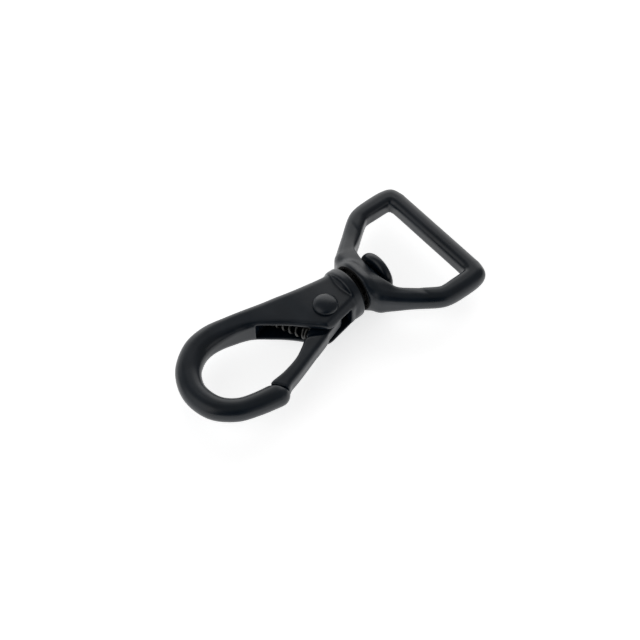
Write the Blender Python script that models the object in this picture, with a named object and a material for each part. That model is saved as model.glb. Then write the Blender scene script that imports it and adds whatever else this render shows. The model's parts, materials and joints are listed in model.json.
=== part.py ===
"""Swivel snap hook for 25 mm webbing: a cast hook with a sprung gate, turning on a headed pin in a strap ring.

Blender 4.5: blender --background --python part.py
Units are metres, +Z is up. The swivel axis runs along X at AXIS_HEIGHT, with the strap ring at +X and the
hook's bow at -X, and the gate is on the -Y side. The origin is under the middle of the whole object, on the
surface it lies on. Sizes are written in millimetres and multiplied by MM.
"""

import math

import bmesh
import bpy
from mathutils import Matrix, Vector

MM = 0.001

# --- driving dimensions -------------------------------------------------------------------------
WEBBING = 25.0 * MM              # strap width the ring takes
STRAP_PLAY = 0.4 * MM            # free room for the strap, all together
WIRE_R = 2.35 * MM               # half the thickness of the ring's bar and sides
HUB_R = 6.3 * MM                 # ring's round hub, the widest part across Z
AXIS_HEIGHT = HUB_R              # the swivel axis above the surface the object lies on
MIDDLE_X = 0.16 * MM             # moves the whole object so that its middle is over the origin

BAR_OUTER_X = 36.55 * MM         # strap bar's outer side
BAR_WIDTH = 4.45 * MM
BAR_INNER_X = BAR_OUTER_X - BAR_WIDTH
SIDE_INNER_Y = (WEBBING + STRAP_PLAY) / 2      # inside of the ring's two short sides
SIDE_OUTER_Y = SIDE_INNER_Y + 2 * WIRE_R

BASE_INNER_X = 15.4 * MM         # ring: inside face of the base wall, where the pin's head sits
HUB_FACE_X = 10.1 * MM           # ring: face of the hub, towards the hook
COLLAR_FRONT_X = 8.6 * MM        # hook: collar's face towards the ring
COLLAR_BACK_X = 6.4 * MM         # hook: collar's face towards the cheeks
COLLAR_R = 6.15 * MM

PIN_R = 2.2 * MM                 # swivel pin's shank
PIN_HEAD_R = 5.0 * MM
PIN_HEAD_X = (15.9 * MM, 18.1 * MM)
PIN_TAIL_R = 2.9 * MM            # peened end, sunk in the collar
PIN_TAIL_X = (6.5 * MM, 7.2 * MM)
RUNNING_GAP = 0.12 * MM          # radial clearance of a turning piece

PIVOT = Vector((0.25 * MM, -2.2 * MM, 0.0))     # rivet's axis, along Z
CHEEK_TOP = 4.3 * MM             # half the hook's thickness at its two cheeks
SLOT_HALF = 2.35 * MM            # half the slot between the cheeks
GATE_HALF = 2.15 * MM            # half the gate's thickness
RIVET_R = 1.5 * MM
RIVET_HEAD_R = 2.85 * MM
RIVET_HEAD_HEIGHT = 1.3 * MM

SPRING_WIRE_R = 0.27 * MM
SPRING_COIL_R = 1.65 * MM        # to the middle of the wire
SPRING_TURNS = 6.5
SPRING_FOOT = Vector((-8.65 * MM, 4.75 * MM, 0.0))     # end in the pocket
SPRING_HEAD = Vector((-5.25 * MM, -3.05 * MM, 0.0))    # end on the gate
SPRING_AXIS = (SPRING_HEAD - SPRING_FOOT).normalized()
SEAT_ALONG = Vector((-SPRING_AXIS.y, SPRING_AXIS.x, 0.0))   # direction of both flats the spring pushes on
SEAT_GAP = 0.1 * MM              # between the spring's end and each flat

ROUND_SEGMENTS = 48
CORNER_SEGMENTS = 4              # steps in each rounded corner of a cross-section

BLACK = ("black_coating", (0.016, 0.017, 0.019), 0.42, 0.0)
STEEL = ("spring_steel", (0.32, 0.32, 0.33), 0.35, 1.0)


# --- small tools --------------------------------------------------------------------------------
def clear_scene():
    for obj in list(bpy.data.objects):
        bpy.data.objects.remove(obj)


def material(spec):
    name, colour, roughness, metallic = spec
    made = bpy.data.materials.get(name) or bpy.data.materials.new(name)
    made.use_nodes = True
    shader = made.node_tree.nodes["Principled BSDF"]
    shader.inputs["Base Color"].default_value = (*colour, 1.0)
    shader.inputs["Roughness"].default_value = roughness
    shader.inputs["Metallic"].default_value = metallic
    return made


def add_object(name, bm, parent, spec=BLACK):
    """Makes a bmesh an object under parent, with its faces pointing out."""
    bmesh.ops.recalc_face_normals(bm, faces=bm.faces)
    mesh = bpy.data.meshes.new(name)
    bm.to_mesh(mesh)
    bm.free()
    obj = bpy.data.objects.new(name, mesh)
    bpy.context.scene.collection.objects.link(obj)
    obj.parent = parent
    mesh.materials.append(material(spec))
    mesh.shade_smooth()
    mesh.set_sharp_from_angle(angle=math.radians(35))
    return obj


def as_cutter(obj):
    obj.hide_render = True
    obj.display_type = "WIRE"
    return obj


def boolean(obj, other, operation):
    made = obj.modifiers.new(operation.lower() + "_" + other.name, "BOOLEAN")
    made.object = other
    made.operation = operation
    as_cutter(other)


def spline(rows, steps, closed=False):
    """Rows of numbers read off a smooth curve through the given rows, steps of them between each two."""
    count = len(rows)
    spans = count if closed else count - 1

    def row(i):
        return rows[i % count] if closed else rows[min(max(i, 0), count - 1)]

    read = []
    for i in range(spans):
        before, start, end, after = row(i - 1), row(i), row(i + 1), row(i + 2)
        for k in range(steps):
            t = k / steps
            read.append([
                0.5 * (2 * b + (c - a) * t + (2 * a - 5 * b + 4 * c - d) * t ** 2
                       + (3 * b - a - 3 * c + d) * t ** 3)
                for a, b, c, d in zip(before, start, end, after)
            ])
    if not closed:
        read.append(list(rows[-1]))
    return read


def arc(centre, radius, start, end, steps):
    """Points on an arc in the plane, from start to end in degrees."""
    angles = [math.radians(start + (end - start) * k / steps) for k in range(steps + 1)]
    return [(centre[0] + radius * math.cos(a), centre[1] + radius * math.sin(a)) for a in angles]


def rounded_section(half_width, half_height, outer_r, inner_r):
    """A rounded rectangle as (across, up) points, outer side at +across, with a flat left on every side."""
    least_flat = 0.12 * MM
    outer_r = min(outer_r, half_width - least_flat, half_height - least_flat)
    inner_r = min(inner_r, half_width - least_flat, half_height - least_flat)
    points = []
    for side, up, radius, start in ((1, 1, outer_r, 0), (-1, 1, inner_r, 90), (-1, -1, inner_r, 180), (1, -1, outer_r, 270)):
        centre = (side * (half_width - radius), up * (half_height - radius))
        points += arc(centre, radius, start, start + 90, CORNER_SEGMENTS)
    return points


def loft(stations, closed):
    """A solid through cross-sections. A station is (outer x, outer y, inner x, inner y, half height, outer r, inner r)."""
    bm = bmesh.new()
    rings = []
    for ox, oy, ix, iy, half_height, outer_r, inner_r in stations:
        outer, inner = Vector((ox, oy, 0)), Vector((ix, iy, 0))
        middle, across = (outer + inner) / 2, (outer - inner) / 2
        section = rounded_section(across.length, half_height, outer_r, inner_r)
        direction = across.normalized()
        rings.append([bm.verts.new(middle + direction * a + Vector((0, 0, up))) for a, up in section])
    count = len(rings[0])
    pairs = list(zip(rings, rings[1:] + rings[:1])) if closed else list(zip(rings, rings[1:]))
    for first, second in pairs:
        for k in range(count):
            bm.faces.new((first[k], first[(k + 1) % count], second[(k + 1) % count], second[k]))
    if not closed:
        bm.faces.new(rings[0])
        bm.faces.new(rings[-1])
    return bm


def turned(profile, segments=ROUND_SEGMENTS):
    """A solid of revolution about X from (x, radius) points. The first and last points lie on the axis."""
    bm = bmesh.new()
    ends = [bm.verts.new((profile[0][0], 0, 0)), bm.verts.new((profile[-1][0], 0, 0))]
    rings = []
    for x, radius in profile[1:-1]:
        turns = [2 * math.pi * k / segments for k in range(segments)]
        rings.append([bm.verts.new((x, radius * math.cos(t), radius * math.sin(t))) for t in turns])
    for k in range(segments):
        after = (k + 1) % segments
        bm.faces.new((ends[0], rings[0][k], rings[0][after]))
        bm.faces.new((ends[1], rings[-1][after], rings[-1][k]))
        for first, second in zip(rings, rings[1:]):
            bm.faces.new((first[k], first[after], second[after], second[k]))
    return bm


def prism(outline, half_height):
    """A flat plate of the given outline, centred on the swivel plane."""
    bm = bmesh.new()
    low = [bm.verts.new((x, y, -half_height)) for x, y in outline]
    high = [bm.verts.new((x, y, half_height)) for x, y in outline]
    bm.faces.new(low)
    bm.faces.new(high)
    for k in range(len(outline)):
        after = (k + 1) % len(outline)
        bm.faces.new((low[k], low[after], high[after], high[k]))
    return bm


def stand_up(bm, place):
    """Turns a solid that lies along X so that it stands along Z at the given place."""
    bmesh.ops.rotate(bm, verts=bm.verts, matrix=Matrix.Rotation(math.radians(-90), 3, "Y"))
    bmesh.ops.translate(bm, verts=bm.verts, vec=place)
    return bm


def in_mm(rows):
    return [[value * MM for value in row] for row in rows]


# --- hook body ----------------------------------------------------------------------------------
# Cross-sections from the collar, along the cheeks, round the bow and up to the nose, in millimetres:
# outer x, outer y, inner x, inner y, half height, outer edge radius, inner edge radius.
CHEEK = CHEEK_TOP / MM
HOOK_SECTIONS = [
    (7.5, 5.2, 7.5, -5.4, CHEEK, 2.2, 2.4),
    (5.0, 4.9, 5.0, -6.0, CHEEK, 2.0, 2.2),
    (0.5, 5.65, 1.0, -6.6, CHEEK, 1.9, 1.8),
    (-3.45, 6.5, -2.1, -6.95, 4.2, 1.9, 1.5),
    (-6.45, 7.35, -4.6, -4.9, 4.05, 1.9, 1.4),
    (-9.95, 8.25, -7.8, -1.4, 3.9, 2.0, 1.4),
    (-13.95, 9.45, -11.1, 1.55, 3.7, 2.2, 1.4),
    (-18.35, 10.7, -15.25, 4.5, 3.35, 2.4, 1.6),
    (-23.4, 11.9, -21.3, 5.95, 2.95, 2.6, 2.1),
    (-28.55, 11.05, -25.9, 5.7, 2.65, 2.5, 2.3),
    (-33.55, 7.5, -29.35, 3.7, 2.5, 2.4, 2.3),
    (-36.3, 2.7, -31.1, 0.95, 2.45, 2.35, 2.25),
    (-36.85, -2.3, -31.5, -1.7, 2.4, 2.3, 2.2),
    (-35.25, -7.4, -30.55, -5.05, 2.4, 2.3, 2.2),
    (-31.2, -11.3, -28.15, -7.4, 2.4, 2.3, 2.2),
    (-26.25, -13.2, -24.75, -8.5, 2.4, 2.3, 2.2),
    (-21.15, -14.35, -20.3, -9.2, 2.4, 2.3, 2.2),
]
HOOK_STEPS = 3
NOSE_CAP_STEPS = 5
SCARF_POINT = Vector((-19.95, -11.1, 0)) * MM     # a point on the nose's end face, where the gate closes
SCARF_NORMAL = Vector((0.8, 0.6, 0))              # from the nose towards the gate
POCKET_END = [(-14.4, 3.6), (-14.0, 4.6), (-12.9, 5.1)]
POCKET_FRONT = [(5.6, 2.6), (5.6, -8.0), (-4.0, -9.0), (-16.5, 0.0)]
POCKET_SEAT_HALF = 2.1 * MM


def nose_cap(last, before):
    """Stations that close the hook's end with a round cap, past the last section."""
    outer, inner = Vector(last[0:2]), Vector(last[2:4])
    middle, across = (outer + inner) / 2, (outer - inner) / 2
    forward = (middle - (Vector(before[0:2]) + Vector(before[2:4])) / 2).normalized()
    radius = across.length
    made = []
    for k in range(1, NOSE_CAP_STEPS):
        angle = math.radians(84) * k / (NOSE_CAP_STEPS - 1)
        shrink = math.cos(angle)
        centre = middle + forward * radius * math.sin(angle)
        ends = (centre + across * shrink, centre - across * shrink)
        made.append([*ends[0], *ends[1], last[4] * shrink, last[5] * shrink, last[6] * shrink])
    return made


def make_hook_body(parent):
    stations = spline(in_mm(HOOK_SECTIONS), HOOK_STEPS)
    stations += nose_cap(stations[-1], stations[-2])
    hook = add_object("hook_body", loft(stations, closed=False), parent)

    rim = 0.45 * MM
    collar = add_object("collar_blank", turned([
        (COLLAR_BACK_X, 0), (COLLAR_BACK_X, COLLAR_R - rim), (COLLAR_BACK_X + 0.3 * rim, COLLAR_R - 0.3 * rim),
        (COLLAR_BACK_X + rim, COLLAR_R), (COLLAR_FRONT_X - rim, COLLAR_R),
        (COLLAR_FRONT_X - 0.3 * rim, COLLAR_R - 0.3 * rim), (COLLAR_FRONT_X, COLLAR_R - rim), (COLLAR_FRONT_X, 0),
    ]), parent)
    boolean(hook, collar, "UNION")

    seat = SPRING_FOOT - SPRING_AXIS * (SPRING_WIRE_R + SEAT_GAP)
    seat_ends = [seat - SEAT_ALONG * POCKET_SEAT_HALF, seat + SEAT_ALONG * POCKET_SEAT_HALF]
    outline = in_mm(POCKET_END) + [(end.x, end.y) for end in seat_ends] + in_mm(POCKET_FRONT)
    pocket = add_object("pocket_cutter", prism(outline, SLOT_HALF), parent)
    boolean(hook, pocket, "DIFFERENCE")

    bore = PIN_R + RUNNING_GAP
    seat = PIN_TAIL_R + RUNNING_GAP
    seat_end = PIN_TAIL_X[1] + RUNNING_GAP
    pin_hole = add_object("pin_hole_cutter", turned([
        (COLLAR_BACK_X - 1 * MM, 0), (COLLAR_BACK_X - 1 * MM, seat), (seat_end, seat),
        (seat_end, bore), (COLLAR_FRONT_X + 1 * MM, bore), (COLLAR_FRONT_X + 1 * MM, 0),
    ]), parent)
    boolean(hook, pin_hole, "DIFFERENCE")

    depth = CHEEK_TOP + 1 * MM
    hole_r = RIVET_R + RUNNING_GAP
    rivet_hole = add_object("rivet_hole_cutter", stand_up(turned(
        [(-depth, 0), (-depth, hole_r), (depth, hole_r), (depth, 0)], segments=32), PIVOT), parent)
    boolean(hook, rivet_hole, "DIFFERENCE")

    side = 3.6 * MM
    along = Vector((-SCARF_NORMAL.y, SCARF_NORMAL.x, 0)).normalized()
    ahead = SCARF_NORMAL.normalized()
    corners = [SCARF_POINT + along * a + ahead * b for a, b in ((-side, 0), (side, 0), (side, side), (-side, side))]
    scarf = add_object("scarf_cutter", prism([(c.x, c.y) for c in corners], 4 * MM), parent)
    boolean(hook, scarf, "DIFFERENCE")


# --- gate ---------------------------------------------------------------------------------------
# Outer and inner edge of the blade from its tip to its root: outer x, outer y, inner x, inner y.
BLADE_EDGES = [
    (-18.3, -12.95, -20.95, -9.4),
    (-17.1, -12.2, -19.85, -9.1),
    (-14.3, -11.35, -16.6, -8.75),
    (-10.8, -10.15, -12.5, -7.65),
    (-7.25, -8.9, -9.6, -6.1),
    (-4.1, -7.85, -7.9, -5.0),
    (-2.6, -7.1, -5.8, -5.0),
]
BLADE_OUTER_R = 0.9 * MM
BLADE_INNER_R = 0.5 * MM
GATE_STEPS = 3
HEEL_HALF = 2.0 * MM             # half the thickness of the part between the cheeks
HEEL_BOSS_R = 3.1 * MM
HEEL_CORNER_R = 2.4 * MM
HEEL_EDGE = [(-7.3, -8.7), (-3.0, -7.15)]
HEEL_SEAT_HALF = 1.8 * MM        # half the flat that the spring pushes on


def make_gate(parent):
    blade = [[*edges, GATE_HALF, BLADE_OUTER_R, BLADE_INNER_R] for edges in spline(in_mm(BLADE_EDGES), GATE_STEPS)]
    gate = add_object("gate", loft(blade, closed=False), parent)
    corner = (PIVOT.x + 0.6 * MM, PIVOT.y - 1.2 * MM)
    outline = in_mm(HEEL_EDGE)
    outline += arc(corner, HEEL_CORNER_R, -70, -5, 5)
    outline += arc((PIVOT.x, PIVOT.y), HEEL_BOSS_R, 5, 150, 8)
    seat = SPRING_HEAD + SPRING_AXIS * (SPRING_WIRE_R + SEAT_GAP)
    outline += [tuple((seat + SEAT_ALONG * HEEL_SEAT_HALF).xy), tuple((seat - SEAT_ALONG * HEEL_SEAT_HALF).xy)]
    heel = add_object("heel_blank", prism(outline, HEEL_HALF), parent)
    boolean(gate, heel, "UNION")
    hole_r = RIVET_R + RUNNING_GAP
    hole = add_object("gate_hole_cutter", stand_up(turned(
        [(-4 * MM, 0), (-4 * MM, hole_r), (4 * MM, hole_r), (4 * MM, 0)], segments=32), PIVOT), parent)
    boolean(gate, hole, "DIFFERENCE")


# --- rivet, spring, pin -------------------------------------------------------------------------
def make_gate_rivet(parent):
    under = CHEEK_TOP + 0.08 * MM
    rim = 0.35 * MM
    top = under + RIVET_HEAD_HEIGHT
    dome = [(under, RIVET_HEAD_R), (under + rim, RIVET_HEAD_R)]
    for k in range(1, 5):
        angle = math.radians(90 * k / 5)
        dome.append((under + rim + (top - under - rim) * math.sin(angle), RIVET_HEAD_R * math.cos(angle)))
    upper = [(under, RIVET_R), *dome, (top, 0)]
    lower = [(-x, r) for x, r in reversed(upper)]
    add_object("gate_rivet", stand_up(turned(lower + upper, segments=32), PIVOT), parent)


def make_gate_spring(parent):
    axis = SPRING_HEAD - SPRING_FOOT
    up = Vector((0, 0, 1))
    steps_per_turn = 16
    count = int(SPRING_TURNS * steps_per_turn)
    curve = bpy.data.curves.new("gate_spring", "CURVE")
    curve.dimensions = "3D"
    curve.bevel_depth = SPRING_WIRE_R
    curve.bevel_resolution = 1
    curve.use_fill_caps = True
    wire = curve.splines.new("POLY")
    wire.points.add(count)
    for k, point in enumerate(wire.points):
        turn = 2 * math.pi * k / steps_per_turn
        place = SPRING_FOOT + axis * k / count
        place += SPRING_COIL_R * (SEAT_ALONG * math.cos(turn) + up * math.sin(turn))
        point.co = (*place, 1.0)
    obj = bpy.data.objects.new("gate_spring", curve)
    bpy.context.scene.collection.objects.link(obj)
    obj.parent = parent
    curve.materials.append(material(STEEL))


def make_swivel_pin(parent):
    tail, head = PIN_TAIL_X, PIN_HEAD_X
    edge = 0.8 * MM
    profile = [(tail[0], 0), (tail[0], PIN_TAIL_R - 0.3 * MM), (tail[0] + 0.3 * MM, PIN_TAIL_R), (tail[1], PIN_TAIL_R)]
    profile += [(tail[1], PIN_R), (head[0], PIN_R), (head[0], PIN_HEAD_R - edge)]
    profile += [(x, r) for x, r in arc((head[0] + edge, PIN_HEAD_R - edge), edge, 150, 90, 3)]
    profile += [(x, r) for x, r in arc((head[1] - edge, PIN_HEAD_R - edge), edge, 90, 20, 3)]
    profile += [(head[1] + 0.1 * MM, 0.45 * PIN_HEAD_R), (head[1] - 0.1 * MM, 0.2 * PIN_HEAD_R), (head[1] - 0.15 * MM, 0)]
    add_object("swivel_pin", turned(profile), parent)


# --- strap ring ---------------------------------------------------------------------------------
# Half of the ring, from the middle of the bar round one corner to the middle of the base, as for the hook.
OUT_X, IN_X = BAR_OUTER_X / MM, BAR_INNER_X / MM
OUT_Y, IN_Y = SIDE_OUTER_Y / MM, SIDE_INNER_Y / MM
BASE_X, HALF = BASE_INNER_X / MM, WIRE_R / MM
RING_SECTIONS = [
    (OUT_X, 0.0, IN_X, 0.0, HALF, 2.2, 1.7),
    (OUT_X, 11.0, IN_X, 10.6, HALF, 2.2, 1.7),
    (OUT_X - 0.05, 13.5, IN_X - 0.15, IN_Y - 0.5, HALF, 2.2, 1.7),
    (OUT_X - 1.1, 16.2, IN_X - 0.3, IN_Y - 0.1, HALF, 2.2, 1.7),
    (OUT_X - 3.95, OUT_Y - 0.1, IN_X - 1.0, IN_Y, HALF, 2.2, 1.7),
    (27.5, OUT_Y, 27.6, IN_Y, HALF, 2.2, 1.7),
    (24.3, OUT_Y - 0.35, 25.5, IN_Y, HALF, 2.2, 1.7),
    (21.6, 15.85, 23.95, 12.15, HALF, 2.2, 1.7),
    (17.0, 12.45, 19.5, 8.95, 2.4, 2.2, 1.6),
    (13.3, 9.6, 16.8, 7.2, 2.9, 2.3, 1.3),
    (11.0, 7.7, BASE_X, 5.7, 3.6, 2.3, 0.9),
    (10.3, 4.6, BASE_X, 3.2, 4.3, 2.3, 0.8),
]
RING_STEPS = 3


def make_strap_ring(parent):
    upper = in_mm(RING_SECTIONS)
    lower = [[row[0], -row[1], row[2], -row[3], *row[4:]] for row in reversed(upper[1:])]
    ring = add_object("strap_ring", loft(spline(upper + lower, RING_STEPS, closed=True), closed=True), parent)
    rim = 0.6 * MM
    wall_x = BASE_INNER_X - 0.15 * MM
    hub = add_object("hub_blank", turned([
        (HUB_FACE_X, 0), (HUB_FACE_X, HUB_R - rim), (HUB_FACE_X + 0.3 * rim, HUB_R - 0.3 * rim),
        (HUB_FACE_X + rim, HUB_R), (HUB_FACE_X + 2 * rim, HUB_R - 0.05 * MM), (HUB_FACE_X + 4 * rim, HUB_R - 0.5 * MM),
        (wall_x - 1.3 * MM, 5.0 * MM), (wall_x, 4.1 * MM), (wall_x, 0),
    ]), parent)
    boolean(ring, hub, "UNION")
    bore = PIN_R + RUNNING_GAP
    hole = add_object("hub_bore_cutter", turned([
        (HUB_FACE_X - 2 * MM, 0), (HUB_FACE_X - 2 * MM, bore), (BASE_INNER_X + 2 * MM, bore), (BASE_INNER_X + 2 * MM, 0),
    ]), parent)
    boolean(ring, hole, "DIFFERENCE")


def main():
    clear_scene()
    frame = bpy.data.objects.new("swivel_axis", None)
    bpy.context.scene.collection.objects.link(frame)
    frame.location = (MIDDLE_X, 0, AXIS_HEIGHT)
    make_hook_body(frame)
    make_gate(frame)
    make_gate_rivet(frame)
    make_gate_spring(frame)
    make_swivel_pin(frame)
    make_strap_ring(frame)


main()
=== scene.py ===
"""Looks of the swivel snap hook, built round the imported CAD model.

Each cast piece is a signed distance field made from lofted and turned solids, joined and cut with the soft
fillets of a casting, and skinned with a fine mesh. Shapes are in millimetres in the hook's own frame: X is
the swivel's axis, towards the strap ring, and Z is the direction of the gate's rivet.
"""
import json
import math

import bmesh
import bpy
import numpy as np
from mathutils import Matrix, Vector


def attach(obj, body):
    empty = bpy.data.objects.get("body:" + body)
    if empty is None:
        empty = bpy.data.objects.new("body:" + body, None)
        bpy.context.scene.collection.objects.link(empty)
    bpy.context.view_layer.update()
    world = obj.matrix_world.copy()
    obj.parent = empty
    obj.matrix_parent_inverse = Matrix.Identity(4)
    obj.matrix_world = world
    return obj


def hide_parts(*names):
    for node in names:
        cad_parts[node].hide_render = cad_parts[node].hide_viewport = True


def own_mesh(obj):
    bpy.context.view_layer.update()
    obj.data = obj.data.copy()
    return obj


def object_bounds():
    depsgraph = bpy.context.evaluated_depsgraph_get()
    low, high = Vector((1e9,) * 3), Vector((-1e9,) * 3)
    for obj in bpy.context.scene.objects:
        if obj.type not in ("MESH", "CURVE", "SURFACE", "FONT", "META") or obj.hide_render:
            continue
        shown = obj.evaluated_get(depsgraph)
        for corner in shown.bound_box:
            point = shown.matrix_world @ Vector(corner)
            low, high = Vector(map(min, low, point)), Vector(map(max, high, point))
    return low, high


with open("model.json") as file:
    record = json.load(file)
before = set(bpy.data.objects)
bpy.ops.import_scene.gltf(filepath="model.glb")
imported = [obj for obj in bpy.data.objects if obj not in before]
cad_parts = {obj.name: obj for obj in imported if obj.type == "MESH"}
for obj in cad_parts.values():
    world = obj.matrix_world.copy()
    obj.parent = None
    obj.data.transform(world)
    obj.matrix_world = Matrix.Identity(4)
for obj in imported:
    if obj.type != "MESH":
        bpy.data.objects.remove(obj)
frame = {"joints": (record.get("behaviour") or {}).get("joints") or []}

import openvdb
from mathutils import Matrix, Vector

MM = 0.001
cad_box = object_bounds()

# --- places that the CAD model fixes ------------------------------------------------------------
joints = {joint["name"]: joint for joint in frame["joints"]}
PIVOT = Vector((0.25, -2.2, 0.0))      # the rivet's axis in the hook's frame, in millimetres
ZERO = Vector(joints["gate_hinge"]["pos_m"]) - PIVOT * MM

# --- driving dimensions, in millimetres ---------------------------------------------------------
VOXEL = 0.17    # spacing of the distance fields
BAND = 2.4                             # how far from a surface its distance is known
MARGIN = 4                             # voxels kept free round each field

SLOT_HALF = 2.33                       # half the slot between the hook's cheeks
CHEEK_TOP = 4.3                        # half the hook's thickness at its cheeks
POCKET_END_X = 4.8                     # where the slot ends, short of the pin's tail
COLLAR_X = (6.3, 8.6)                  # the collar's two faces
COLLAR_R = 6.15
NECK_R = 4.4                           # the collar's spigot, which goes into the hub's recess
NECK_END_X = 9.9
GATE_HALF = 2.13                       # half the gate's thickness
HEEL_HALF = 1.75                       # half the thickness of the gate's heel

HUB_X = 10.1                           # the hub's face, towards the collar
HUB_R = 6.3
RECESS_R = 4.9                         # in the hub's face, round the collar's spigot
RECESS_DEPTH = 1.45
BASE_X = 15.4                          # inside of the ring's base wall

PIN_R = 2.2
PIN_HEAD_X = (15.9, 18.1)
PIN_HEAD_R = 5.0
PIN_DIMPLE_R = 2.4                     # in the middle of the pin's head
PIN_DIMPLE_DEPTH = 0.35
PIN_TAIL_X = (6.5, 7.15)               # the peened end, sunk in the collar
PIN_TAIL_R = 2.8
BORE_R = 2.32                          # in the collar and the hub, round the pin
TAIL_WELL_R = 3.1                      # in the hook, round the pin's tail
TAIL_WELL_END_X = 7.3

RIVET_R = 1.5
RIVET_HOLE_R = 1.62                    # in the gate
RIVET_SEAT = 4.2                       # height of the rivet heads' undersides
RIVET_HEAD_R = 2.85
RIVET_HEAD_HEIGHT = 1.6
RIVET_RIM_HEIGHT = 0.3

SPRING_WIRE_R = 0.27
SPRING_COIL_R = 1.65                   # to the middle of the wire
SPRING_FOOT = Vector((-8.65, 4.75, 0.0))        # end in the pocket
SPRING_HEAD = Vector((-5.25, -3.05, 0.0))       # end on the gate

SPLINE_STEPS = 14                      # stations of a loft from one given section to the next
SECTION_STEPS = 12                     # steps in each rounded corner of a section
LEAST_FLAT = 0.02                      # half of what is left of a section's flats between its corners
OUTLINE_STEPS = 8                      # steps in each rounded corner of an outline
ROUND_SEGMENTS = 128                   # sides of a turned solid
PAST = 1.0                             # how far a cut runs past the surface it opens through


# --- curves and solids --------------------------------------------------------------------------
def spline(rows, closed=False):
    """Rows of numbers read off a smooth curve through the given rows."""
    rows = np.array(rows, float)
    count = len(rows)
    spans = count if closed else count - 1
    read = []
    for i in range(spans):
        picks = [i - 1, i, i + 1, i + 2]
        picks = [p % count if closed else min(max(p, 0), count - 1) for p in picks]
        a, b, c, d = rows[picks]
        for t in np.arange(SPLINE_STEPS) / SPLINE_STEPS:
            read.append(0.5 * (2 * b + (c - a) * t + (2 * a - 5 * b + 4 * c - d) * t**2
                               + (3 * b - a - 3 * c + d) * t**3))
    if not closed:
        read.append(rows[-1])
    return np.array(read)


def arc(centre, radius, start, end, steps):
    """Points on an arc in the plane, from start to end in degrees."""
    angles = np.radians(np.linspace(start, end, steps + 1))
    return [(centre[0] + radius * math.cos(a), centre[1] + radius * math.sin(a)) for a in angles]


def rounded(corners, closed=True):
    """An outline through (x, y, radius) corners, each turned into an arc of its radius."""
    points = []
    count = len(corners)
    for i, (x, y, radius) in enumerate(corners):
        here = Vector((x, y))
        if radius <= 0 or (not closed and i in (0, count - 1)):
            points.append((x, y))
            continue
        back = (Vector(corners[i - 1][:2]) - here).normalized()
        ahead = (Vector(corners[(i + 1) % count][:2]) - here).normalized()
        half = back.angle(ahead) / 2
        middle = here + (back + ahead).normalized() * radius / math.sin(half)
        first = here + back * radius / math.tan(half) - middle
        last = here + ahead * radius / math.tan(half) - middle
        start = math.atan2(first.y, first.x)
        turn = (math.atan2(last.y, last.x) - start + math.pi) % (2 * math.pi) - math.pi
        for k in range(OUTLINE_STEPS + 1):
            angle = start + turn * k / OUTLINE_STEPS
            points.append((middle.x + radius * math.cos(angle), middle.y + radius * math.sin(angle)))
    return points


def rounded_section(half_width, half_height, outer_r, inner_r, under_r, bevel):
    """A rounded rectangle as (across, up) points, outer side at +across, with a bevelled upper inner edge."""
    most = min(half_width, half_height) - LEAST_FLAT
    outer_r = min(outer_r, most)
    inner_r = min(inner_r, most)
    under_r = min(max(inner_r, under_r), most)
    points = []
    for side, up, radius, start in (
        (1, 1, outer_r, 0), (-1, 1, inner_r, 90), (-1, -1, under_r, 180), (1, -1, outer_r, 270),
    ):
        centre = (side * (half_width - radius), up * (half_height - radius))
        corner = np.array(arc(centre, radius, start, start + 90, SECTION_STEPS))
        if (side, up) == (-1, 1):
            flat = np.linspace(corner[0], corner[-1], SECTION_STEPS + 1)
            corner = corner * (1 - bevel) + flat * bevel
        points.append(corner)
    return np.concatenate(points)


BEVEL_FADE = 0.5                       # change of edge radius over which a bevel turns into a round


def loft(stations, closed=False, under_r=0.0, most_bevel=0.0):
    """(points, triangles) through stations.

    A station is outer x, outer y, inner x, inner y, half height, outer edge radius and inner edge radius.
    The lower inner edge is rounded by at least under_r. The upper one is a bevel where under most_bevel.
    """
    rings = []
    for ox, oy, ix, iy, half_height, outer_r, inner_r in stations:
        middle = np.array([(ox + ix) / 2, (oy + iy) / 2])
        across = np.array([(ox - ix) / 2, (oy - iy) / 2])
        half_width = np.hypot(*across)
        bevel = min(max((most_bevel - inner_r) / BEVEL_FADE, 0.0), 1.0)
        section = rounded_section(half_width, half_height, outer_r, inner_r, under_r, bevel)
        plan = middle + np.outer(section[:, 0], across / half_width)
        rings.append(np.column_stack([plan, section[:, 1]]))
    return skinned_rings(rings, closed)


def skinned_rings(rings, closed):
    """(points, triangles) of the tube through rings of points, capped at its ends unless it is closed."""
    around = len(rings[0])
    points = list(np.concatenate(rings))
    triangles = []
    for i in range(len(rings) if closed else len(rings) - 1):
        first = i * around
        second = (i + 1) % len(rings) * around
        for k in range(around):
            after = (k + 1) % around
            a, b, c, d = first + k, first + after, second + after, second + k
            triangles += [(a, b, c), (a, c, d)]
    if not closed:
        for ring_start, ring in ((0, rings[0]), ((len(rings) - 1) * around, rings[-1])):
            centre = len(points)
            points.append(np.mean(ring, axis=0))
            for k in range(around):
                triangles.append((centre, ring_start + k, ring_start + (k + 1) % around))
    return np.array(points), np.array(triangles)


def turned(profile, segments=ROUND_SEGMENTS):
    """(points, triangles) of the solid of revolution about X of a profile of (x, radius) points."""
    turns = np.linspace(0, 2 * math.pi, segments, endpoint=False)
    circle = np.column_stack([np.zeros(segments), np.cos(turns), np.sin(turns)])
    rings = [circle * radius + (x, 0, 0) for x, radius in profile]
    return skinned_rings(rings, closed=False)


def drum(start_x, end_x, radius):
    """(points, triangles) of a plain cylinder on the swivel's axis."""
    return turned([(start_x, 0), (start_x, radius), (end_x, radius), (end_x, 0)])


def prism(outline, half_height):
    """(points, triangles) of a flat plate whose outline is star-shaped about the middle of its corners."""
    rings = [np.array([(x, y, z) for x, y in outline]) for z in (-half_height, half_height)]
    return skinned_rings(rings, closed=False)


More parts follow.
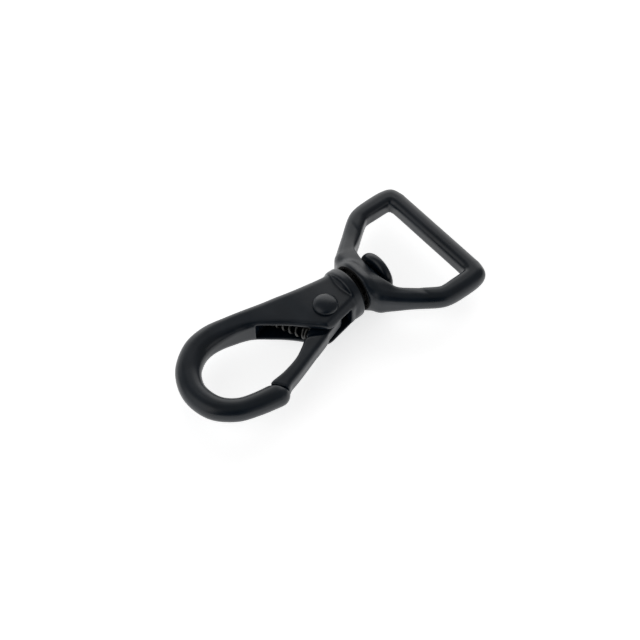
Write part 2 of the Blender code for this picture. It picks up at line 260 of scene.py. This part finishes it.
# --- distance fields ----------------------------------------------------------------------------
class Field:
    """Distances from a solid's surface on a regular grid, in millimetres, negative inside the solid."""

    def __init__(self, low, high):
        self.first = np.floor(np.array(low) / VOXEL).astype(int) - MARGIN
        last = np.ceil(np.array(high) / VOXEL).astype(int) + MARGIN
        self.values = np.full(last - self.first + 1, BAND, np.float32)
        self.axes = [(self.first[i] + np.arange(self.values.shape[i])) * VOXEL for i in range(3)]

    def coordinates(self):
        """The grid's x, y and z, shaped so that they combine."""
        x, y, z = self.axes
        return x[:, None, None], y[None, :, None], z[None, None, :]

    def of_solid(self, solid):
        """Distances from the surface of a closed mesh."""
        points, triangles = solid
        level_set = openvdb.FloatGrid.createLevelSetFromPolygons(
            points.astype(np.float32), triangles=triangles.astype(np.uint32),
            transform=openvdb.createLinearTransform(voxelSize=VOXEL), halfWidth=BAND / VOXEL)
        distances = np.zeros(self.values.shape, np.float32)
        level_set.copyToArray(distances, ijk=tuple(int(i) for i in self.first))
        return distances

    def of_plane(self, point, normal):
        """Distances from a plane, negative behind it."""
        unit = np.array(normal, float) / np.linalg.norm(normal)
        steps = [(place - point[i]) * unit[i] for i, place in enumerate(self.coordinates())]
        return (steps[0] + steps[1] + steps[2]).astype(np.float32)

    def add(self, distances, fillet=0.0):
        """Joins a solid to this one."""
        self.values = soft_least(self.values, distances, fillet)

    def cut(self, distances, fillet=0.0):
        """Takes a solid away from this one."""
        self.values = -soft_least(-self.values, distances, fillet)

    def soften(self, passes):
        """Rounds every edge a little more with each pass."""
        for _ in range(passes):
            for axis in range(3):
                layers = np.moveaxis(self.values, axis, 0)
                layers[1:-1] = 0.5 * layers[1:-1] + 0.25 * (layers[2:] + layers[:-2])

    def skin(self):
        """(points, quads) of the surface."""
        grid = openvdb.FloatGrid(background=BAND)
        grid.copyFromArray(self.values, ijk=tuple(int(i) for i in self.first))
        grid.transform = openvdb.createLinearTransform(voxelSize=VOXEL)
        return grid.convertToQuads(0.0)


def soft_least(a, b, fillet):
    """The lesser of two fields, blended where they are within fillet of each other."""
    if fillet <= 0:
        return np.minimum(a, b)
    share = np.clip(0.5 + 0.5 * (b - a) / fillet, 0, 1)
    return b * (1 - share) + a * share - fillet * share * (1 - share)


def add_piece(name, points, faces, material, body, node):
    """Makes a visible piece from a mesh in millimetres. It rides on a CAD body and stands for a CAD node."""
    mesh = bpy.data.meshes.new(name)
    mesh.from_pydata([tuple(p) for p in points.tolist()], [], faces.tolist())
    mesh.transform(Matrix.Translation(ZERO) @ Matrix.Scale(MM, 4))
    mesh.materials.append(material)
    mesh.validate()
    mesh.shade_smooth()
    editable = bmesh.new()
    editable.from_mesh(mesh)
    bmesh.ops.recalc_face_normals(editable, faces=editable.faces)
    editable.to_mesh(mesh)
    editable.free()
    obj = bpy.data.objects.new(name, mesh)
    bpy.context.scene.collection.objects.link(obj)
    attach(obj, body)
    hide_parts(node)
    return obj


# --- materials ----------------------------------------------------------------------------------
def new_material(name):
    """A new material, with its nodes, its links and its shader."""
    made = bpy.data.materials.new(name)
    made.use_nodes = True
    nodes = made.node_tree.nodes
    return made, nodes, made.node_tree.links, nodes["Principled BSDF"]


def noise(nodes, links, place, scale, detail):
    """A cloudy value from 0 to 1 at each place."""
    made = nodes.new("ShaderNodeTexNoise")
    made.inputs["Scale"].default_value = scale
    made.inputs["Detail"].default_value = detail
    links.new(place, made.inputs["Vector"])
    return made.outputs["Fac"]


def ranged(nodes, links, value, source, target):
    """The value, carried from the source range to the target range."""
    made = nodes.new("ShaderNodeMapRange")
    for socket, number in zip(("From Min", "From Max", "To Min", "To Max"), (*source, *target)):
        made.inputs[socket].default_value = number
    links.new(value, made.inputs["Value"])
    return made.outputs["Result"]


def mixed(nodes, links, share, first, second):
    """A mix of two colours, each three numbers or a socket."""
    made = nodes.new("ShaderNodeMix")
    made.data_type = "RGBA"
    links.new(share, made.inputs["Factor"])
    for name, colour in (("A", first), ("B", second)):
        if isinstance(colour, tuple):
            made.inputs[name].default_value = (*colour, 1)
        else:
            links.new(colour, made.inputs[name])
    return made.outputs["Result"]


def bumped(nodes, links, height, distance, strength, below=None):
    """A surface direction tilted by the height, on top of the one below it."""
    made = nodes.new("ShaderNodeBump")
    made.inputs["Distance"].default_value = distance
    made.inputs["Strength"].default_value = strength
    links.new(height, made.inputs["Height"])
    if below:
        links.new(below, made.inputs["Normal"])
    return made.outputs["Normal"]


SHADE_FADE = 0.3                      # how far inside its rim the painted shade fades out, in millimetres


def within_cylinder(nodes, links, place, start_x, end_x, radius):
    """1 inside a cylinder on the swivel's axis, fading out at its rim, and 0 outside it."""
    parts = nodes.new("ShaderNodeSeparateXYZ")
    links.new(place, parts.inputs["Vector"])
    along = nodes.new("ShaderNodeMath")
    along.operation = "COMPARE"
    along.inputs[1].default_value = ZERO.x + (start_x + end_x) / 2 * MM
    along.inputs[2].default_value = (end_x - start_x) / 2 * MM
    links.new(parts.outputs["X"], along.inputs[0])
    flat = nodes.new("ShaderNodeCombineXYZ")
    links.new(parts.outputs["Y"], flat.inputs["Y"])
    links.new(parts.outputs["Z"], flat.inputs["Z"])
    out = nodes.new("ShaderNodeVectorMath")
    out.operation = "DISTANCE"
    out.inputs[1].default_value = (0, ZERO.y, ZERO.z)
    links.new(flat.outputs["Vector"], out.inputs[0])
    near = ranged(nodes, links, out.outputs["Value"], ((radius - SHADE_FADE) * MM, radius * MM), (1, 0))
    both = nodes.new("ShaderNodeMath")
    both.operation = "MULTIPLY"
    links.new(along.outputs["Value"], both.inputs[0])
    links.new(near, both.inputs[1])
    return both.outputs["Value"]


def painted_shade_mask(nodes, links, place):
    """1 in the gap between collar and hub and in the hub's recess, where the coat is painted near-black and
    matte as painted shade, and 0 elsewhere.
    """
    gap = within_cylinder(nodes, links, place, COLLAR_X[1] - 0.3, HUB_X + 0.4, HUB_R - 0.5)
    recess_end = HUB_X + RECESS_DEPTH + 0.3
    recess = within_cylinder(nodes, links, place, HUB_X, recess_end, RECESS_R + SHADE_FADE + 0.05)
    either = nodes.new("ShaderNodeMath")
    either.operation = "MAXIMUM"
    links.new(gap, either.inputs[0])
    links.new(recess, either.inputs[1])
    return either.outputs["Value"]


PAINT_DARK = (0.0020, 0.0062, 0.0122)
PAINT_LIGHT = (0.0036, 0.0094, 0.0174)
PAINT_ROUGHNESS = (0.27, 0.36)
# painted shade: a near-black for the shaded gap between collar and hub and for the hub's recess
PAINTED_SHADE_BLACK = (0.002, 0.002, 0.002)


def black_coating():
    """Satin black electrocoat on a zinc casting: an even blue-black with a fine orange peel, painted
    near-black and matte in the swivel's shaded gap and recess as painted shade.
    """
    made, nodes, links, shader = new_material("black_coating")
    place = nodes.new("ShaderNodeTexCoord").outputs["Object"]
    cloud = noise(nodes, links, place, scale=160, detail=3)
    peel = noise(nodes, links, place, scale=2600, detail=2)
    waves = noise(nodes, links, place, scale=420, detail=2)
    # painted shade, near-black and matte, in the swivel's gap and the hub's recess
    painted_shade = painted_shade_mask(nodes, links, place)
    paint = mixed(nodes, links, ranged(nodes, links, cloud, (0.35, 0.65), (0, 1)), PAINT_DARK, PAINT_LIGHT)
    links.new(mixed(nodes, links, painted_shade, paint, PAINTED_SHADE_BLACK), shader.inputs["Base Color"])
    # the roughness goes up to 1 in the painted shade, so that it stays dark
    dulled = nodes.new("ShaderNodeMath")
    dulled.operation = "MAXIMUM"
    links.new(ranged(nodes, links, cloud, (0.3, 0.7), PAINT_ROUGHNESS), dulled.inputs[0])
    links.new(painted_shade, dulled.inputs[1])
    links.new(dulled.outputs["Value"], shader.inputs["Roughness"])
    shader.inputs["Specular IOR Level"].default_value = 0.5
    coarse = bumped(nodes, links, waves, distance=0.06 * MM, strength=0.25)
    fine = bumped(nodes, links, peel, distance=0.01 * MM, strength=0.55, below=coarse)
    links.new(fine, shader.inputs["Normal"])
    return made


STEEL_DARK = (0.05, 0.05, 0.05)
STEEL_LIGHT = (0.1, 0.1, 0.095)
STEEL_ROUGHNESS = (0.34, 0.5)


def spring_steel():
    """Drawn spring wire, dark and slightly oiled."""
    made, nodes, links, shader = new_material("spring_steel")
    place = nodes.new("ShaderNodeTexCoord").outputs["Object"]
    cloud = noise(nodes, links, place, scale=900, detail=3)
    links.new(mixed(nodes, links, cloud, STEEL_DARK, STEEL_LIGHT), shader.inputs["Base Color"])
    links.new(ranged(nodes, links, cloud, (0.3, 0.7), STEEL_ROUGHNESS), shader.inputs["Roughness"])
    shader.inputs["Metallic"].default_value = 1.0
    grain = noise(nodes, links, place, scale=5000, detail=2)
    links.new(bumped(nodes, links, grain, distance=0.008 * MM, strength=0.3), shader.inputs["Normal"])
    return made


def floor_material():
    """A white light table, bright enough to show as plain white."""
    made, nodes, links, shader = new_material("floor")
    shader.inputs["Base Color"].default_value = (0.9, 0.9, 0.9, 1)
    shader.inputs["Roughness"].default_value = 0.9
    shader.inputs["Specular IOR Level"].default_value = 0.1
    shader.inputs["Emission Color"].default_value = (1, 1, 1, 1)
    shader.inputs["Emission Strength"].default_value = 0.72
    return made


# --- hook body ----------------------------------------------------------------------------------
# outer x, outer y, inner x, inner y, half height, outer edge radius, inner edge radius
HOOK_SECTIONS = [
    (7.5, 5.0, 7.5, -5.3, CHEEK_TOP, 1.9, 1.8),
    (5.0, 4.95, 5.0, -6.0, CHEEK_TOP, 1.9, 1.8),
    (0.5, 5.7, 1.0, -6.6, CHEEK_TOP, 1.9, 1.6),
    (-3.45, 6.55, -2.1, -6.95, 4.2, 1.9, 0.9),
    (-6.45, 7.4, -4.6, -4.9, 4.0, 1.9, 0.8),
    (-9.95, 8.3, -7.8, -1.4, 3.8, 2.0, 0.8),
    (-13.95, 9.5, -11.1, 1.55, 3.6, 2.2, 0.85),
    (-18.35, 10.75, -15.25, 4.45, 3.3, 2.4, 1.2),
    (-23.4, 11.95, -21.3, 5.9, 2.95, 2.65, 2.0),
    (-28.6, 11.1, -25.85, 5.65, 2.7, 2.55, 2.3),
    (-33.6, 7.55, -29.3, 3.65, 2.55, 2.45, 2.35),
    (-36.35, 2.7, -31.05, 0.95, 2.5, 2.4, 2.35),
    (-36.9, -2.3, -31.45, -1.7, 2.45, 2.35, 2.3),
    (-35.3, -7.4, -30.5, -5.05, 2.45, 2.35, 2.3),
    (-31.2, -11.35, -28.1, -7.35, 2.45, 2.35, 2.3),
    (-26.25, -13.25, -24.7, -8.45, 2.45, 2.35, 2.3),
    (-21.15, -14.4, -20.3, -9.15, 2.45, 2.35, 2.3),
]
UNDER_EDGE_R = 1.7                     # the least radius of the inner edge below
MOST_BEVEL = 1.6                       # under this the inner edge above is a bevel, not a round
NOSE_CAP_STEPS = 12
NOSE_CAP_TURN = 87                     # degrees of the cap's quarter turn, which stops short of a point
SCARF_POINT = (-19.95, -11.1, 0.0)     # on the nose's end face, where the gate closes
SCARF_NORMAL = (0.8, 0.6, 0.0)         # from the nose towards the gate
SCARF_DEPTH = 5.0                      # how far the cut reaches ahead of the nose
SCARF_HALF = 4.5                       # and to either side
# the bevel between a cheek's flat and the slot, beside the window: two points along its top, one at the slot
SHOULDER_TOP = ((-1.8, -5.95, 4.2), (5.3, -4.4, CHEEK_TOP))
SHOULDER_LOW = (4.65, -6.05, SLOT_HALF)
SHOULDER_X = -3.2                      # where the bevel has run out


def nose_cap(stations):
    """Stations that close the hook's end with a round cap, past the last section."""
    last = stations[-1]
    before = stations[-4]               # far enough back to give the direction of the bow's end
    middle = (last[0:2] + last[2:4]) / 2
    across = (last[0:2] - last[2:4]) / 2
    forward = middle - (before[0:2] + before[2:4]) / 2
    forward /= np.hypot(*forward)
    radius = np.hypot(*across)
    made = []
    for angle in np.radians(np.linspace(0, NOSE_CAP_TURN, NOSE_CAP_STEPS)[1:]):
        centre = middle + forward * radius * math.sin(angle)
        ends = [centre + across * math.cos(angle), centre - across * math.cos(angle)]
        made.append(np.concatenate([*ends, last[4:] * math.cos(angle)]))
    return np.array(made)


def add_cheeks(field):
    """The hook's bow and cheeks, with the bevels beside the window, up to the collar."""
    stations = spline(HOOK_SECTIONS)
    stations = np.concatenate([stations, nose_cap(stations)])
    field.add(field.of_solid(loft(stations, under_r=UNDER_EDGE_R, most_bevel=MOST_BEVEL)))
    run_out = field.of_plane((SHOULDER_X, 0, 0), (1, 0, 0))
    for side in (1, -1):
        top_a, top_b, low = [np.array((x, y, z * side)) for x, y, z in (*SHOULDER_TOP, SHOULDER_LOW)]
        normal = np.cross(top_b - top_a, low - top_a)
        normal *= -math.copysign(1, normal[1])
        beyond = -field.of_plane(top_a, normal)
        field.cut(-soft_least(-beyond, run_out, fillet=1.5), fillet=0.3)


def add_collar(field):
    """The round collar, with a cone that rises to it from the cheeks and a spigot on its face."""
    back, front = COLLAR_X
    collar = rounded([
        (back - 0.6, 0, 0), (back - 0.55, 4.5, 0.2), (back - 0.05, 5.45, 0.1),
        (back, COLLAR_R - 0.15, 0.15), (back + 0.6, COLLAR_R, 0.4), (front, COLLAR_R - 0.05, 0.35),
        (front, NECK_R, 0.1), (NECK_END_X, NECK_R, 0.3), (NECK_END_X, 0, 0),
    ], closed=False)
    field.add(field.of_solid(turned(collar)), fillet=0.3)


def cut_pocket(field):
    """The slot between the cheeks, which opens to the gate's side, and the well of the pin's tail."""
    pocket = rounded([
        (-14.4, 3.6, 0), (-14.0, 4.7, 0.3), (-12.6, 5.3, 0.4), (-7.2, 6.2, 0.5),
        (POCKET_END_X, 2.9, 0.5), (POCKET_END_X, -8.0, 0), (-4.0, -9.0, 0), (-16.5, 0.0, 0),
    ])
    field.cut(field.of_solid(prism(pocket, SLOT_HALF)), fillet=0.2)
    start = POCKET_END_X - 0.3
    end = NECK_END_X + PAST
    well = [(start, 0), (start, TAIL_WELL_R), (TAIL_WELL_END_X, TAIL_WELL_R)]
    bore = [(TAIL_WELL_END_X, BORE_R), (end, BORE_R), (end, 0)]
    field.cut(field.of_solid(turned(well + bore)), fillet=0.2)


def near_scarf(field):
    """Distances from the block of room in front of the nose's end face, which the gate's tip closes on."""
    ahead = field.of_plane(SCARF_POINT, SCARF_NORMAL)
    along = field.of_plane(SCARF_POINT, (-SCARF_NORMAL[1], SCARF_NORMAL[0], 0.0))
    return np.maximum.reduce([-ahead, ahead - SCARF_DEPTH, np.abs(along) - SCARF_HALF])


def make_hook_body(coat):
    field = Field(low=(-37.2, -14.8, -6.2), high=(NECK_END_X, 12.8, 6.2))
    add_cheeks(field)
    add_collar(field)
    cut_pocket(field)
    field.cut(near_scarf(field), fillet=0.25)
    field.soften(passes=2)
    points, quads = field.skin()
    add_piece("hook_casting", points, quads, coat, "hook", "hook_body")


# --- gate ---------------------------------------------------------------------------------------
# outer x, outer y, inner x, inner y, from the gate's tip to its heel
BLADE_EDGES = [
    (-18.3, -12.95, -20.95, -9.4),
    (-17.1, -12.2, -19.85, -9.1),
    (-14.3, -11.35, -16.6, -8.75),
    (-10.8, -10.15, -12.5, -7.65),
    (-7.25, -8.9, -9.6, -6.1),
    (-4.1, -7.85, -7.9, -5.0),
    (-2.9, -7.25, -6.7, -5.2),
]
BLADE_OUTER_R = 1.1                    # radii of the blade's long edges
BLADE_INNER_R = 0.6
HEEL_EDGE = [(-7.3, -8.7), (-3.0, -7.15)]       # the heel's outer side, where it meets the blade
HEEL_CORNER = (PIVOT.x + 0.6, PIVOT.y - 1.2)
HEEL_CORNER_R = 2.4
HEEL_BOSS_R = 3.1                      # round the rivet
SEAT_HALF = 1.8                        # half the flat that the spring pushes on
SEAT_GAP = 0.1                         # between the spring's end and that flat


def heel_outline():
    """The heel from the side: round the rivet, with a flat for the spring."""
    axis = (SPRING_HEAD - SPRING_FOOT).normalized()
    along = Vector((-axis.y, axis.x, 0.0))
    seat = SPRING_HEAD + axis * (SPRING_WIRE_R + SEAT_GAP)
    outline = list(HEEL_EDGE)
    outline += arc(HEEL_CORNER, HEEL_CORNER_R, -70, -5, 16)
    outline += arc((PIVOT.x, PIVOT.y), HEEL_BOSS_R, 5, 150, 30)
    outline += [tuple(seat + along * SEAT_HALF)[:2], tuple(seat - along * SEAT_HALF)[:2]]
    return outline


def make_gate(coat):
    field = Field(low=(-21.5, -13.0, -2.6), high=(3.6, 1.8, 2.6))
    blade = [[*edges, GATE_HALF, BLADE_OUTER_R, BLADE_INNER_R] for edges in spline(BLADE_EDGES)]
    field.add(field.of_solid(loft(blade)))
    field.add(field.of_solid(prism(heel_outline(), HEEL_HALF)), fillet=0.4)
    x, y, z = field.coordinates()
    hole = np.hypot(x - PIVOT.x, y - PIVOT.y) - RIVET_HOLE_R + 0 * z
    field.cut(hole.astype(np.float32), fillet=0.15)
    field.soften(passes=3)
    points, quads = field.skin()
    add_piece("gate_casting", points, quads, coat, "gate", "gate")


# --- rivet, pin and spring ----------------------------------------------------------------------
RIVET_SEGMENTS = 96
DOME_STEPS = 24
DOME_TURN = 89                         # degrees of the dome's quarter turn, which stops short of a point


def make_gate_rivet(coat):
    """A rivet with a domed head at each end."""
    top = RIVET_SEAT + RIVET_HEAD_HEIGHT
    rim = RIVET_SEAT + RIVET_RIM_HEIGHT
    upper = [(RIVET_SEAT, RIVET_R), (RIVET_SEAT, RIVET_HEAD_R - 0.15), (RIVET_SEAT + 0.1, RIVET_HEAD_R)]
    for angle in np.radians(np.linspace(0, DOME_TURN, DOME_STEPS)):
        upper.append((rim + (top - rim) * math.sin(angle), RIVET_HEAD_R * math.cos(angle)))
    profile = [(-x, r) for x, r in reversed(upper)] + upper
    points, triangles = turned(profile, RIVET_SEGMENTS)
    upright = np.column_stack([PIVOT.x + points[:, 1], PIVOT.y + points[:, 2], points[:, 0]])
    add_piece("rivet", upright, triangles, coat, "hook", "gate_rivet")


def make_swivel_pin(coat):
    """A pin with a peened tail in the collar and a dimpled head inside the ring."""
    back, front = PIN_HEAD_X
    tail_back, tail_front = PIN_TAIL_X
    profile = rounded([
        (tail_back, 0, 0), (tail_back, PIN_TAIL_R, 0.25), (tail_front, PIN_TAIL_R, 0.2),
        (tail_front + 0.05, PIN_R, 0), (back, PIN_R, 0.3), (back, PIN_HEAD_R, 1.05),
        (front, PIN_HEAD_R, 1.0), (front, PIN_DIMPLE_R, 0.8), (front - PIN_DIMPLE_DEPTH, 0, 0),
    ], closed=False)
    points, triangles = turned(profile)
    add_piece("headed_pin", points, triangles, coat, "pin", "swivel_pin")


SPRING_ACTIVE_TURNS = 4.5
SPRING_CLOSED_TURNS = 1.0              # at each end
CLOSED_PITCH = 2 * SPRING_WIRE_R + 0.04
STEPS_PER_TURN = 40
WIRE_SIDES = 16
EASING_STEPS = 13                      # over which the pitch changes, an odd number


def coil_centres(axis, length):
    """Points along the middle of the wire, from the spring's foot to its head."""
    side = Vector((-axis.y, axis.x, 0.0))
    up = Vector((0.0, 0.0, 1.0))
    closed_length = CLOSED_PITCH * SPRING_CLOSED_TURNS
    all_turns = SPRING_ACTIVE_TURNS + 2 * SPRING_CLOSED_TURNS
    turns = np.linspace(0, all_turns, int(all_turns * STEPS_PER_TURN) + 1)
    turns_at = (0, SPRING_CLOSED_TURNS, all_turns - SPRING_CLOSED_TURNS, all_turns)
    heights = np.interp(turns, turns_at, (0, closed_length, length - closed_length, length))
    padded = np.pad(heights, EASING_STEPS // 2, mode="edge")
    heights = np.convolve(padded, np.ones(EASING_STEPS) / EASING_STEPS, mode="valid")
    centres = []
    for turn, height in zip(turns, heights):
        angle = 2 * math.pi * turn
        spoke = side * math.cos(angle) + up * math.sin(angle)
        centres.append(SPRING_FOOT + axis * height + spoke * SPRING_COIL_R)
    return centres


def wire_ring(centre, ahead, axis):
    """A ring of points round the wire, at a point on its middle."""
    out = (centre - SPRING_FOOT) - axis * (centre - SPRING_FOOT).dot(axis)
    out.normalize()
    across = ahead.cross(out).normalized()
    angles = np.linspace(0, 2 * math.pi, WIRE_SIDES, endpoint=False)
    return np.array([centre + SPRING_WIRE_R * (out * math.cos(a) + across * math.sin(a)) for a in angles])


def make_gate_spring(steel):
    """A compression coil with one closed turn at each end."""
    axis = SPRING_HEAD - SPRING_FOOT
    length = axis.length
    axis.normalize()
    centres = coil_centres(axis, length)
    rings = []
    for i, centre in enumerate(centres):
        ahead = (centres[min(i + 1, len(centres) - 1)] - centres[max(i - 1, 0)]).normalized()
        rings.append(wire_ring(centre, ahead, axis))
    points, triangles = skinned_rings(rings, closed=False)
    spring = add_piece("coil_spring", points, triangles, steel, "hook", "gate_spring")
    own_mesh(spring)


# --- strap ring ---------------------------------------------------------------------------------
OUT_X = 36.55                          # the strap bar's outer and inner side
IN_X = 32.1
OUT_Y = 17.4                           # a side's outer and inner side
IN_Y = 12.7
HALF = 2.35                            # half the thickness of the bar and the sides
# outer x, outer y, inner x, inner y, half height, outer edge radius, inner edge radius
RING_SECTIONS = [
    (OUT_X, 0.0, IN_X, 0.0, HALF, 2.25, 1.5),
    (OUT_X, 11.0, IN_X, 10.6, HALF, 2.25, 1.5),
    (OUT_X - 0.05, 13.5, IN_X - 0.15, IN_Y - 0.5, HALF, 2.25, 1.5),
    (OUT_X - 1.1, 16.2, IN_X - 0.3, IN_Y - 0.1, HALF, 2.25, 1.5),
    (OUT_X - 3.95, OUT_Y - 0.1, IN_X - 1.0, IN_Y, HALF, 2.25, 1.5),
    (27.5, OUT_Y, 27.6, IN_Y, HALF, 2.25, 1.5),
    (24.3, OUT_Y - 0.35, 25.5, IN_Y, HALF, 2.25, 1.5),
    (21.6, 15.85, 23.95, 12.15, HALF, 2.25, 1.5),
    (17.0, 12.45, 19.5, 8.95, 2.45, 2.3, 1.5),
    (13.3, 9.6, 16.8, 7.2, 2.95, 2.4, 1.0),
    (11.0, 7.7, 15.9, 5.6, 3.5, 2.3, 0.6),
    (10.3, 4.6, BASE_X, 3.1, 4.1, 2.2, 0.6),
    (10.3, 0.0, BASE_X, 0.0, 4.3, 2.2, 0.6),
]

# the slope that falls from the hub to the base wall's inner edge, above and below
WALL_HALF = 2.55                       # half the wall's height at its inner edge
WALL_SLOPE = 0.62                      # fall along X
WALL_RISE = 0.33                       # rise along Y, away from the middle
WALL_BLEND = 3.0                       # how far from the middle the rise sets in
WALL_REACH = 4.5                       # how far past the inner edge the slope is cut


def add_loop(field):
    """The ring's bar, sides and base wall, mirrored about y = 0."""
    mirrored = [(a, -b, c, -d, *rest) for a, b, c, d, *rest in reversed(RING_SECTIONS[1:-1])]
    stations = spline(RING_SECTIONS + mirrored, closed=True)
    field.add(field.of_solid(loft(stations, closed=True)))


def add_hub(field):
    """The round hub, with the slopes that join it to the base wall."""
    hub = rounded([
        (HUB_X, 0, 0), (HUB_X, HUB_R - 0.5, 0.3), (HUB_X + 0.9, HUB_R, 0.9), (HUB_X + 2.4, HUB_R - 0.5, 1.6),
        (BASE_X - 0.05, 3.9, 0.3), (BASE_X - 0.05, 0, 0),
    ], closed=False)
    field.add(field.of_solid(turned(hub)), fillet=0.9)
    x, y, z = field.coordinates()
    beyond = x - BASE_X - WALL_REACH
    rise = WALL_RISE * np.sqrt(y**2 + WALL_BLEND**2)
    for side in (1, -1):
        above = z * side - WALL_HALF + WALL_SLOPE * (x - BASE_X) - rise
        above /= math.hypot(1, WALL_SLOPE, WALL_RISE)
        field.cut(np.maximum(-above, beyond).astype(np.float32), fillet=1.6)
    field.cut(field.of_plane((HUB_X, 0, 0), (1, 0, 0)), fillet=0.2)


def bore_hub(field):
    """The pin's bore, the recess for the collar's spigot and the spot face round the pin's head."""
    field.cut(field.of_solid(drum(HUB_X - 2 * PAST, BASE_X + 3 * PAST, BORE_R)), fillet=0.3)
    field.cut(field.of_solid(drum(HUB_X - 2 * PAST, HUB_X + RECESS_DEPTH, RECESS_R)), fillet=0.2)
    field.cut(field.of_solid(drum(BASE_X, PIN_HEAD_X[1] + PAST, PIN_HEAD_R + 0.2)), fillet=0.2)


def make_strap_ring(coat):
    field = Field(low=(9.9, -17.7, -6.5), high=(36.9, 17.7, 6.5))
    add_loop(field)
    add_hub(field)
    bore_hub(field)
    field.soften(passes=2)
    points, quads = field.skin()
    add_piece("ring_casting", points, quads, coat, "ring", "strap_ring")


# --- stage --------------------------------------------------------------------------------------
CAMERA_TARGET = Vector((-1.25, -2.13, 0.0))     # where it looks, in the hook's frame
CAMERA_DISTANCE = 330.0 * MM           # from there
CAMERA_AZIMUTH = -129.35               # of the camera as seen from there, in degrees
CAMERA_ELEVATION = 53.6
CAMERA_LENS = 84.2
SENSOR_WIDTH = 36.0
NEAREST = 10.0 * MM                    # that the camera shows


def direction(azimuth, elevation):
    """The unit direction at an azimuth, from +X towards +Y, and an elevation, both in degrees."""
    azimuth = math.radians(azimuth)
    elevation = math.radians(elevation)
    flat = math.cos(elevation)
    return Vector((flat * math.cos(azimuth), flat * math.sin(azimuth), math.sin(elevation)))


def make_camera():
    camera = bpy.data.cameras.new("camera")
    camera.lens = CAMERA_LENS
    camera.sensor_width = SENSOR_WIDTH
    camera.clip_start = NEAREST
    obj = bpy.data.objects.new("camera", camera)
    back = direction(CAMERA_AZIMUTH, CAMERA_ELEVATION)
    obj.location = ZERO + CAMERA_TARGET * MM + back * CAMERA_DISTANCE
    obj.rotation_euler = back.to_track_quat("Z", "Y").to_euler()
    bpy.context.scene.collection.objects.link(obj)
    bpy.context.scene.camera = obj


FLOOR_REACH = 3.0                      # in metres, from the middle to each side
FLOOR_GAP = 0.2 * MM


def make_floor():
    mesh = bpy.data.meshes.new("floor")
    low = cad_box[0][2] - FLOOR_GAP
    corners = [(x * FLOOR_REACH, y * FLOOR_REACH, low) for x, y in ((-1, -1), (1, -1), (1, 1), (-1, 1))]
    mesh.from_pydata(corners, [], [(0, 1, 2, 3)])
    mesh.materials.append(floor_material())
    obj = bpy.data.objects.new("floor", mesh)
    bpy.context.scene.collection.objects.link(obj)


# the white panels, as bright patches in the studio's sky: a patch's azimuth and elevation, the angles from
# its middle at which it starts to fade and has faded out, all in degrees, and its brightness
PANELS = [
    (45, 15, 22, 44, 1.3),
    (95, 14, 6, 30, 0.55),
    (-75, 8, 10, 30, 0.5),
    (170, 32, 16, 40, 0.7),
]
CAMERA_SIDE = (-122, 24, 18, 48, -0.2)          # a patch of shade, where the camera stands
ROOF = 0.22                            # brightness of the rest


def patch(nodes, links, sky, azimuth, elevation, inner, outer, strength):
    """The brightness that one patch adds to the sky."""
    toward = nodes.new("ShaderNodeVectorMath")
    toward.operation = "DOT_PRODUCT"
    toward.inputs[1].default_value = direction(azimuth, elevation)
    links.new(sky, toward.inputs[0])
    made = nodes.new("ShaderNodeMapRange")
    made.interpolation_type = "SMOOTHSTEP"
    made.inputs["From Min"].default_value = math.cos(math.radians(outer))
    made.inputs["From Max"].default_value = math.cos(math.radians(inner))
    made.inputs["To Max"].default_value = strength
    links.new(toward.outputs["Value"], made.inputs["Value"])
    return made.outputs["Result"]


def make_studio():
    world = bpy.data.worlds.new("studio")
    world.use_nodes = True
    nodes = world.node_tree.nodes
    links = world.node_tree.links
    sky = nodes.new("ShaderNodeTexCoord").outputs["Generated"]
    roof = nodes.new("ShaderNodeValue")
    roof.outputs["Value"].default_value = ROOF
    total = roof.outputs["Value"]
    for numbers in (*PANELS, CAMERA_SIDE):
        added = nodes.new("ShaderNodeMath")
        links.new(patch(nodes, links, sky, *numbers), added.inputs[0])
        links.new(total, added.inputs[1])
        total = added.outputs["Value"]
    background = nodes["Background"]
    links.new(total, background.inputs["Strength"])
    background.inputs["Color"].default_value = (1, 1, 1, 1)
    bpy.context.scene.world = world
    bpy.context.scene.view_settings.view_transform = "Standard"


def main():
    coat = black_coating()
    steel = spring_steel()
    make_hook_body(coat)
    make_gate(coat)
    make_gate_rivet(coat)
    make_swivel_pin(coat)
    make_gate_spring(steel)
    make_strap_ring(coat)
    make_camera()
    make_floor()
    make_studio()


main()
